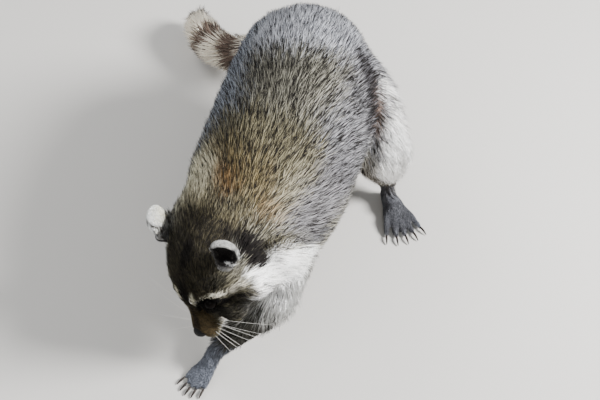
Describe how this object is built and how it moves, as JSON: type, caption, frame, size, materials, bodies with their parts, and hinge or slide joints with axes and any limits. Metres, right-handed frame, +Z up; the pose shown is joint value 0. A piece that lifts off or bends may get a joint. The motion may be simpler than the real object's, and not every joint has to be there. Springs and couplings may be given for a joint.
{
  "type": "raccoon display model",
  "caption": "Life-size standing raccoon, head lowered and one forepaw reaching forward, with a ringed bushy tail.",
  "frame": {"origin": "on the floor, under the middle of the whole animal's length and breadth", "axes": "+Z up from the floor, -Y towards the head, +X to the animal's left"},
  "size_m": [0.4334, 0.6646, 0.267],
  "materials": {
    "back_coat": "grizzled grey-buff fur with black hair tips",
    "nape_coat": "yellowish-brown grizzled fur",
    "face_coat": "short grey-brown fur with a black mask and white cheeks",
    "ear_coat": "short whitish fur",
    "leg_coat": "short pale grey-brown fur",
    "tail_coat": "long fur in dark brown and cream rings",
    "paw": "fine blue-grey hair over dark skin",
    "eye": "polished near-black",
    "nose": "damp black",
    "claw": "dark horn"
  },
  "bodies": {
    "root": {"ear_left": "ear_coat", "ear_right": "ear_coat", "eye_left": "eye", "eye_right": "eye", "foreleg_left": "leg_coat", "foreleg_right": "leg_coat", "forepaw_left": "paw", "forepaw_left_claw_1": "claw", "forepaw_left_claw_2": "claw", "forepaw_left_claw_3": "claw", "forepaw_left_claw_4": "claw", "forepaw_left_claw_5": "claw", "forepaw_right": "paw", "forepaw_right_claw_1": "claw", "forepaw_right_claw_2": "claw", "forepaw_right_claw_3": "claw", "forepaw_right_claw_4": "claw", "forepaw_right_claw_5": "claw", "head": "face_coat", "hindfoot_left": "paw", "hindfoot_left_claw_1": "claw", "hindfoot_left_claw_2": "claw", "hindfoot_left_claw_3": "claw", "hindfoot_left_claw_4": "claw", "hindfoot_left_claw_5": "claw", "hindfoot_right": "paw", "hindfoot_right_claw_1": "claw", "hindfoot_right_claw_2": "claw", "hindfoot_right_claw_3": "claw", "hindfoot_right_claw_4": "claw", "hindfoot_right_claw_5": "claw", "neck": "nape_coat", "nose": "nose", "shank_left": "leg_coat", "shank_right": "leg_coat", "tail_base": "tail_coat", "tail_middle": "tail_coat", "tail_tip": "tail_coat", "thigh_left": "back_coat", "thigh_right": "back_coat", "trunk": "back_coat"}
  },
  "joints": []
}
